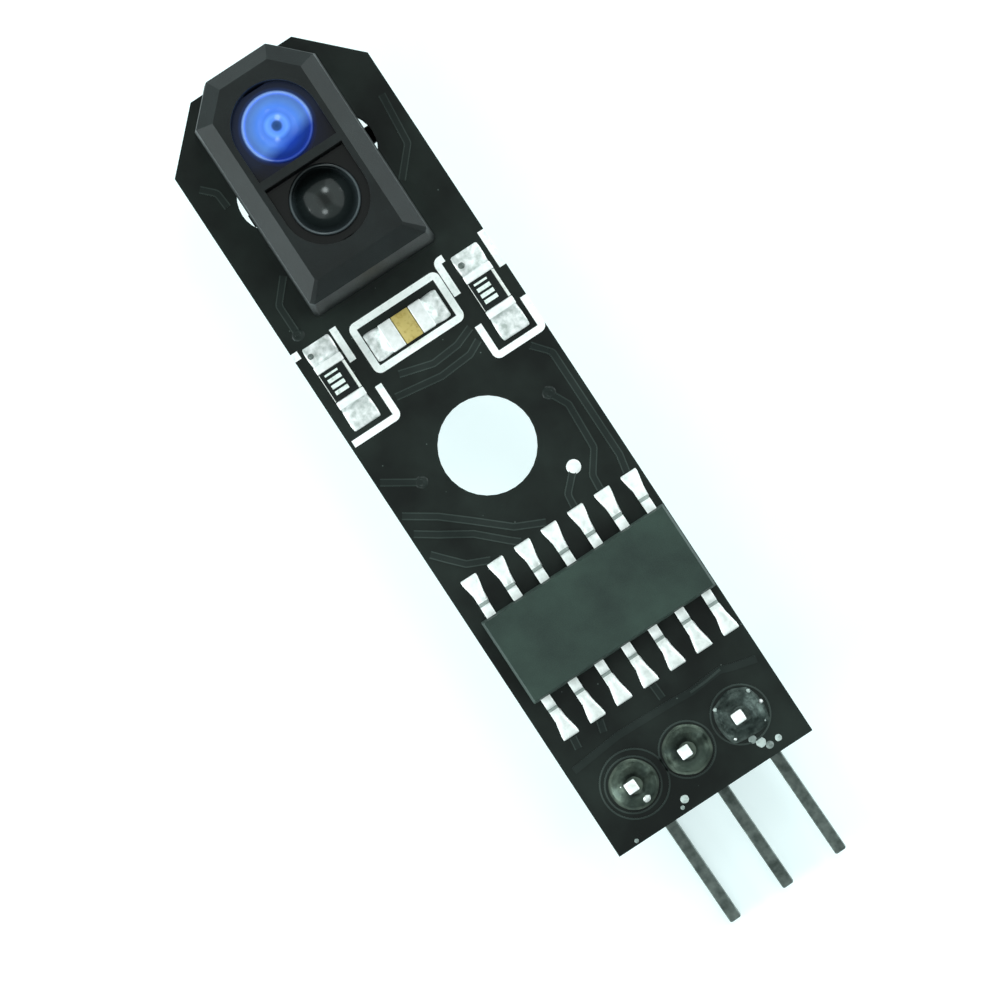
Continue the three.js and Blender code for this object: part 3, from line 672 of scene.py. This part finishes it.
# lathe outlines as shares of a spot's radius; a lump's heights are shares too, and a via's are in mm
bareVia = [(0.0, 0.05), (0.5, 0.045), (0.8, 0.03), (1.0, 0.0), (0.0, 0.0)]
maskedVia = [(0.0, 0.006), (0.4, 0.01), (0.62, 0.03), (0.85, 0.028), (1.0, 0.0), (0.0, 0.0)]
fluxLump = [(0.0, 1.0), (0.35, 0.92), (0.7, 0.6), (1.0, 0.0), (0.0, 0.0)]
vias = [
    # x, y, radius, whether it is bare of mask and tinned
    (2.4, 14.0, 0.3, True), (3.2, 17.0, 0.28, False), (-3.0, 16.8, 0.26, False), (-3.9, 24.4, 0.26, False),
]
fluxSpots = [
    # x, y, radius, height, material: crumbs on the mask, beads on the joints, burnt marks on two pads; the
    # bright lumps on the joints are painted highlights
    (-1.17, 0.5, 0.17, 0.05, "fluxPale"), (-1.42, 0.26, 0.09, 0.05, "flux"),
    (-3.68, 0.16, 0.09, 0.04, "flux"), (2.4, 1.0, 0.17, 0.05, "flux"),
    (2.62, 0.72, 0.2, 0.05, "fluxPale"), (2.86, 0.45, 0.16, 0.05, "flux"),
    (3.3, 0.5, 0.14, 0.05, "fluxPale"), (1.86, 1.42, 0.12, 0.14, "cut"),
    (3.22, 1.4, 0.1, 0.13, "fluxPale"), (3.3, 2.72, 0.11, 0.13, "fluxPale"),
    (1.8, 2.8, 0.1, 0.13, "fluxPale"), (3.5, 2.1, 0.1, 0.13, "cut"),
    (3.06, 23.14, 0.17, 0.22, "stain"), (-3.95, 23.4, 0.15, 0.22, "stain"),
    (-2.42, 1.42, 0.24, 0.34, "cut"), (-3.02, 2.3, 0.12, 0.45, "cut"),
]


def ringPath(x, y, radius, steps=40):
    turns = [2 * math.pi * n / steps for n in range(steps)]
    points = [(x + radius * math.cos(turn), y + radius * math.sin(turn)) for turn in turns]
    return points + points[:1]


def besidePath(path, shift):
    # the same path with each point moved sideways, square to the line between its neighbours
    shifted = []
    for n, here in enumerate(path):
        before, after = path[max(n - 1, 0)], path[min(n + 1, len(path) - 1)]
        along = Vector((after[0] - before[0], after[1] - before[1])).normalized()
        shifted.append((here[0] - along.y * shift, here[1] + along.x * shift))
    return shifted


def printStrips():
    # copper shows through the mask as low ridges; the ink lies on top
    half = board["traceWidth"] / 2
    copperEdges = [besidePath(path, shift) for path in tracePaths for shift in (-half, half)]
    rings = [ringPath(x, board["headerLine"], radius) for x, radius in jointRings]
    strips = [
        # name, paths, width, height, corner radius, material
        ("traces", tracePaths, board["traceWidth"] - board["copperEdge"], board["traceHeight"],
         board["traceCorner"], "maskTrace"),
        # the trace edges, the bright stretch of the plane's edge and the joint rings carry a painted
        # highlight along their copper edges
        ("trace_edges", copperEdges, board["copperEdge"], board["copperEdgeHeight"], board["traceCorner"],
         "maskEdgeHighlight"),
        ("plane_edge", [planeEdge], board["planeWidth"], board["planeHeight"], board["planeCorner"],
         "maskTrace"),
        ("plane_edge_worn", [brightEdge], board["highlightWidth"], board["highlightHeight"], board["traceCorner"],
         "maskEdgeHighlight"),
        ("joint_rings", rings, board["ringWidth"], board["ringHeight"], 0.0, "maskEdgeHighlight"),
        ("legend_ink", inkPaths, board["inkWidth"], board["inkHeight"], board["inkCorner"], "ink"),
    ]
    for name, paths, width, height, corner, material in strips:
        grown = growPiece(name, stripTree, pathHolder(name, paths, height / 2), {
            "Width": width * mm, "Height": height * mm, "Corner": corner * mm,
            "Material": materials[material]})
        finishPiece(grown, [])


def makeVias():
    # a tinned one stands up as a dome, and one under the mask is a ring with a dip
    for n, (x, y, radius, isBare) in enumerate(vias):
        profile = [(r * radius * mm, h * mm) for r, h in (bareVia if isBare else maskedVia)]
        via = latheMesh(f"via_{n + 1}", at(x, y), profile, board["viaSteps"], closed=False)
        finishPiece(via, materials["tin" if isBare else "maskTrace"])


def makeFluxSpots():
    # every spot is the same low lump, stretched to its own size
    for n, (x, y, radius, height, look) in enumerate(fluxSpots):
        profile = [(r * radius * mm, h * height * mm) for r, h in fluxLump]
        lump = latheMesh(f"flux_{n + 1}", at(x, y), profile, board["fluxSteps"], closed=False,
                         jitter=board["fluxJitter"], seed=40 + n)
        finishPiece(lump, materials[look])


def makeBoard():
    piece = softened("board_laminate", "circuit_board", board["edgeRound"])
    for face in piece.data.polygons:
        # its edges and bores show the laminate, and its two faces the mask
        face.material_index = 1 if abs(face.normal.z) < 0.5 else 0
    finishPiece(piece, [materials["mask"], materials["laminate"]], ["circuit_board"])
    printStrips()
    makeVias()
    makeFluxSpots()
    print("board printed")


sensor = {"shellRound": 0.09, "leadRound": 0.04}


def makeLens(name, node, dieNode, material):
    # a block with a column on it that ends in a beaded rim round a shallow dome
    low, high = boxMm(node)
    dieLow, dieHigh = boxMm(dieNode)
    centre = at((dieLow.x + dieHigh.x) / 2, (dieLow.y + dieHigh.y) / 2)
    root, rim, bead, reach = low.z + lens["rootLift"], lens["rimZ"], lens["bead"], lens["domeRadius"]
    profile = [(0.0, root), (lens["radius"], root)]
    for n in range(lens["beadSteps"] + 1):
        angle = math.pi * n / lens["beadSteps"]
        profile.append((lens["radius"] - bead + bead * math.cos(angle), rim + bead * math.sin(angle)))
    rise = lens["top"] - rim
    curve = (reach ** 2 + rise ** 2) / (2 * rise)    # the dome is part of a ball of this radius
    for n in range(lens["domeSteps"]):
        r = reach * math.cos(math.pi / 2 * n / lens["domeSteps"])
        profile.append((r, rim + math.sqrt(curve ** 2 - r ** 2) - (curve - rise)))
    profile.append((0.0, lens["top"]))
    column = latheMesh(name + "_column", centre, [(r * mm, z * mm) for r, z in profile], lens["sides"])
    bm = bmesh.new()
    bm.from_mesh(column.data)
    bpy.data.objects.remove(column)
    addBox(bm, low, (high.x, high.y, lens["seat"]))
    finishPiece(newPiece(name, bm), materials[material], [node])


def makeSensor():
    finishPiece(softened("sensor_shell", "sensor_housing", sensor["shellRound"], 3),
                materials["housing"], ["sensor_housing"])
    makeLens("emitter_epoxy", "ir_emitter", "emitter_die", "blueEpoxy")
    makeLens("detector_epoxy", "photo_detector", "detector_die", "blackEpoxy")
    for node in ("emitter_die", "detector_die"):
        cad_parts[node].data.materials.clear()
        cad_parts[node].data.materials.append(materials["silicon"])
    for node in ("emitter_anode_lead", "emitter_cathode_lead", "detector_emitter_lead",
                 "detector_collector_lead"):
        finishPiece(softened(node + "_plated", node, sensor["leadRound"]), materials["tin"],
                    [node])
    print("sensor built")


chip = {
    "pitch": 1.27, "count": 7, "centre": (0.23, 8.9), "padMiddle": (0.26, 8.84), "bodyRound": 0.05,
    "leadRound": 0.03, "jointAcross": 11, "sampleLead": "chip_lead_11",
}
leadJoint = [
    # distance from the chip's middle line, half width, height: high at the heel, spread at the toe
    (2.56, 0.2, 0.1), (2.6, 0.215, 0.22), (2.78, 0.225, 0.27), (3.0, 0.245, 0.26), (3.2, 0.285, 0.18),
    (3.4, 0.325, 0.13), (3.6, 0.36, 0.1), (3.72, 0.365, 0.08), (3.77, 0.355, 0.05), (3.785, 0.32, 0.0),
]


def makeChip():
    finishPiece(softened("chip_body", "logic_chip_body", chip["bodyRound"]), materials["chip"],
                ["logic_chip_body"])
    centre = at(*chip["centre"])
    lead = softened("lead_shape", chip["sampleLead"], chip["leadRound"])
    low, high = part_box(chip["sampleLead"])
    lead.data.transform(Matrix.Translation(-Vector(((low.x + high.x) / 2, centre.y, centre.z))))
    joint = archLoft("joint_shape", leadJoint, Vector((0, 0, 0)), chip["jointAcross"])
    tree = rowPairTree()
    for name, shape, place, material, slot, replaced in (
            ("chip_leads", lead, centre, "leadTin", "tinned_lead",
             [f"chip_lead_{n:02d}" for n in range(1, 2 * chip["count"] + 1)]),
            ("chip_lead_joints", joint, at(*chip["padMiddle"]), "solder", "solder", [])):
        row = growPiece(name, tree, emptyHolder(name), {
            "Shape": shape, "Count": chip["count"], "Pitch": chip["pitch"] * mm,
            "Centre": tuple(place), "Material": materials[material]})
        finishPiece(row, [], replaced)
        bpy.data.objects.remove(shape)
    print("chip and its leads built")


chipParts = {
    "coreRound": 0.02, "capRound": 0.05, "filletWobble": 0.008, "filletAcross": 13,
    # how far the glass overcoat stays inside the body, and how it lies across the body's top face
    "glazeLeft": 0.02, "glazeRight": 0.12, "glazeGap": 0.01, "glazeSink": 0.01, "glazeRise": 0.02,
    "glazeRound": 0.012, "barLength": 0.6, "barShift": -0.12, "barHeight": 0.01,
}
# width of the bars that stand for a printed value, and how far each is from the middle
valueBars = [(0.09, (0.47,)), (0.17, (0.21, -0.06, -0.33))]


def makeFillet(part, end, isSecond):
    # solder that runs down from an end cap, steep and then flat, to the end of its pad
    low, high = boxMm(f"{part}_solder_{end}")
    if part == "capacitor":
        length, half = high.x - low.x, (high.y - low.y) / 2
        place = at(low.x if isSecond else high.x, (low.y + high.y) / 2)
        turn = -math.pi / 2 if isSecond else math.pi / 2
    else:
        length, half = high.y - low.y, (high.x - low.x) / 2
        place = at((low.x + high.x) / 2, low.y if isSecond else high.y)
        turn = 0 if isSecond else math.pi
    sections = [(-0.02, half * 0.96, 0.4), (0.06, half * 0.98, 0.27), (0.18, half, 0.17),
                (length * 0.45, half * 1.02, 0.1), (length * 0.75, half * 1.02, 0.075),
                (length - 0.04, half * 0.98, 0.05), (length, half * 0.9, 0.0)]
    mass = archLoft(f"{part}_fillet_{end}", sections, place, chipParts["filletAcross"], turn,
                    chipParts["filletWobble"], seed=7 * isSecond + len(part))
    finishPiece(mass, materials["solderPatchy"], [f"{part}_solder_{end}"])


def makeResistorTop(part):
    low, high = boxMm(part + "_body")
    capNear, capFar = boxMm(part + "_end_near")[1].y, boxMm(part + "_end_far")[0].y
    bm = bmesh.new()
    addBox(bm, (low.x + chipParts["glazeLeft"], capNear + chipParts["glazeGap"],
                high.z - chipParts["glazeSink"]),
           (high.x - chipParts["glazeRight"], capFar - chipParts["glazeGap"],
            high.z + chipParts["glazeRise"]))
    glaze = newPiece(part + "_overcoat", bm)
    bevel = glaze.modifiers.new("soft rim", "BEVEL")
    bevel.width = chipParts["glazeRound"] * mm
    bevel.segments = 2
    finishPiece(glaze, materials["overcoat"])
    x, y = (low.x + high.x) / 2 + chipParts["barShift"], (capNear + capFar) / 2
    reach = chipParts["barLength"] / 2
    barZ = high.z + chipParts["glazeRise"] + 0.006    # a bar's middle, just clear of the glass
    for n, (width, offsets) in enumerate(valueBars):
        bars = [[(x - reach, y + offset), (x + reach, y + offset)] for offset in offsets]
        marks = growPiece(f"{part}_marks_{n + 1}", stripTree, pathHolder(part, bars, barZ), {
            "Width": width * mm, "Height": chipParts["barHeight"] * mm, "Corner": 0.0,
            "Material": materials["mark"]})
        finishPiece(marks, [])


def makeChipParts():
    for part, core, slot, ends in (
            ("resistor_left", "alumina", "resistor_glaze", ("near", "far")),
            ("resistor_right", "alumina", "resistor_glaze", ("near", "far")),
            ("capacitor", "capacitor", "capacitor_ceramic", ("left", "right"))):
        finishPiece(softened(part + "_core", part + "_body", chipParts["coreRound"], 1), materials[core],
                    [part + "_body"])
        for isSecond, end in enumerate(ends):
            cap = softened(f"{part}_cap_{end}", f"{part}_end_{end}", chipParts["capRound"], 3)
            finishPiece(cap, materials["tin"], [f"{part}_end_{end}"])
            makeFillet(part, end, isSecond)
        if part != "capacitor":
            makeResistorTop(part)
    print("chip parts built")


# foot is how wide and high the solder spreads at its pad, as shares of its radius and in millimetres
header = {
    "neck": 0.34, "steps": 28, "sides": 48, "flare": 1.8, "rings": 3, "ripple": 0.005, "tip": 0.02,
    "foot": [(1.12, 0.0), (1.1, 0.03), (1.0, 0.05)], "uneven": 0.008,
    "coldJoint": 3, "coldUneven": 0.02, "coldSquareness": 0.35,
    "blockRound": 0.06, "pinRound": 0.04, "cutAbove": 0.9,
}
backJoint = {
    "neck": 0.3, "steps": 9, "sides": 40, "flare": 1.8, "rings": 0, "ripple": 0.0, "tip": 0.02,
    "foot": [(1.1, 0.0), (1.08, 0.03), (1.0, 0.06)], "uneven": 0.008,
}


def conePoints(cone, radius, start, end):
    # radius and height pairs of solder drawn up a wire, from its pad at start to its neck at end
    way = 1 if end > start else -1
    foot = start + way * cone["foot"][-1][1]
    points = [(0.0, start)] + [(radius * spread, start + way * rise) for spread, rise in cone["foot"]]
    for n in range(1, cone["steps"] + 1):
        t = n / cone["steps"]
        ripple = cone["ripple"] * math.sin(2 * math.pi * cone["rings"] * t) * (1 - t)
        points.append((cone["neck"] + (radius - cone["neck"]) * (1 - t) ** cone["flare"],
                       foot + (end - foot) * t + ripple))
    points.append((0.0, end + way * cone["tip"]))
    return [(r * mm, z * mm) for r, z in points]


def makeHeader():
    finishPiece(softened("header_insulator", "header_block", header["blockRound"]), materials["nylon"],
                ["header_block"])
    for n in (1, 2, 3):
        pin = softened(f"header_pin_{n}_plated", f"header_pin_{n}", header["pinRound"])
        for face in pin.data.polygons:
            face.material_index = 1 if face.center.z > faceZ + header["cutAbove"] * mm else 0
        finishPiece(pin, [materials["pin"], materials["cut"]], [f"header_pin_{n}"])
        low, high = boxMm(f"header_solder_{n}")
        isCold = n == header["coldJoint"]
        cone = latheMesh(f"header_joint_{n}", at((low.x + high.x) / 2, (low.y + high.y) / 2),
                         conePoints(header, (high.x - low.x) / 2, 0.0, high.z), header["sides"],
                         squareness=header["coldSquareness"] if isCold else 0.0,
                         jitter=header["coldUneven"] if isCold else header["uneven"], seed=n)
        finishPiece(cone, materials["solderCold" if isCold else "solderCone"],
                    [f"header_solder_{n}"])
    print("header built")


def makeSensorJoints():
    for n in (1, 2, 3, 4):
        low, high = boxMm(f"sensor_solder_{n}")
        cone = latheMesh(f"sensor_joint_{n}", at((low.x + high.x) / 2, (low.y + high.y) / 2),
                         conePoints(backJoint, (high.x - low.x) / 2, high.z, low.z), backJoint["sides"],
                         jitter=backJoint["uneven"], seed=20 + n)
        finishPiece(cone, materials["solderBack"], [f"sensor_solder_{n}"])
    print("back joints built")


makeCamera()
makeFloor()
lightStudio()
makeBoard()
makeSensor()
makeChip()
makeChipParts()
makeHeader()
makeSensorJoints()

bpy.context.view_layer.update()
